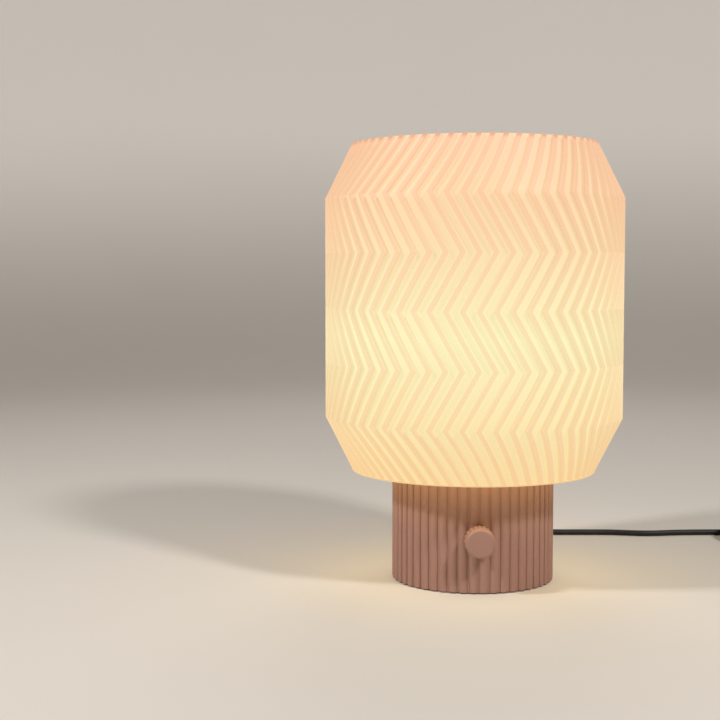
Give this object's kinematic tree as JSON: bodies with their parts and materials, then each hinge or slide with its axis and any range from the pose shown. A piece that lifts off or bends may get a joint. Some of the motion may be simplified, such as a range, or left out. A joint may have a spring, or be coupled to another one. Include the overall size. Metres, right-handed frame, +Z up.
{
  "type": "pleated table lamp",
  "caption": "Table lamp with a glowing chevron-pleated shade that lifts off a reeded round base, a dimmer knob and a mains cord.",
  "frame": {"origin": "centre of the base on the table", "axes": "+Z up, the knob faces -Y, the cord leaves at +Y"},
  "size_m": [0.3882, 0.2498, 0.293],
  "materials": {
    "shade_plastic": "translucent, lit from inside",
    "base_plastic": "satin",
    "cover_plastic": "satin",
    "foot_rubber": "matt",
    "steel": "plated",
    "holder_plastic": "moulded",
    "insulator": "moulded",
    "brass": "stamped",
    "control_case": "moulded",
    "board": "lacquered board",
    "board_parts": "wound and moulded",
    "terminal_plastic": "moulded",
    "lead_brown": "PVC sleeve",
    "lead_blue": "PVC sleeve",
    "cord_black": "smooth PVC",
    "plug_black": "moulded",
    "pin_metal": "plated",
    "bulb_opal": "opal, lit",
    "bulb_white": "moulded",
    "cap_metal": "rolled",
    "insulator_black": "glass bead"
  },
  "bodies": {
    "base": {"base_shell": "base_plastic", "bottom_cover": "cover_plastic", "cover_screws": "steel", "foot_ring": "foot_rubber", "lampholder_body": "holder_plastic", "lampholder_ring": "holder_plastic", "lampholder_cap": "holder_plastic", "lampholder_core": "insulator", "lampholder_shell": "brass", "centre_contact": "brass", "dimmer_body": "control_case", "dimmer_board": "board", "dimmer_bush": "brass", "dimmer_washer": "steel", "dimmer_nut": "steel", "dimmer_parts": "board_parts", "terminal_block": "terminal_plastic", "terminal_screws": "steel", "lead_supply": "lead_brown", "lead_switched": "lead_brown", "lead_neutral": "lead_blue", "cord_inlet": "cord_black", "cord_cores": "lead_brown", "cord_clamp": "cover_plastic", "clamp_post_left": "base_plastic", "clamp_post_right": "base_plastic", "clamp_screws": "steel", "strain_relief": "cord_black", "cord_run": "cord_black", "cord_coil": "cord_black", "cord_tail": "cord_black", "plug_body": "plug_black", "plug_pins": "pin_metal"},
    "knob": {"knob": "base_plastic", "dimmer_shaft": "steel"},
    "shade": {"shade_wall": "shade_plastic", "shade_floor": "shade_plastic", "shade_top": "shade_plastic"},
    "bulb": {"bulb_globe": "bulb_opal", "led_plate": "bulb_white", "bulb_collar": "bulb_white", "bulb_cap": "cap_metal", "bulb_insulator": "insulator_black", "bulb_contact": "cap_metal"}
  },
  "joints": [
    {"name": "knob_turn", "type": "hinge", "parent": "base", "child": "knob", "pos_m": [0, -0.06, 0.0354], "axis": [0, 1, 0], "range_deg": [-280, 0]},
    {"name": "shade_lift", "type": "slide", "parent": "base", "child": "shade", "axis": [0, 0, 1], "range_m": [0, 0.125]},
    {"name": "bulb_removal", "type": "slide", "parent": "base", "child": "bulb", "axis": [0, 0, 1], "range_m": [0, 0.026]}
  ]
}
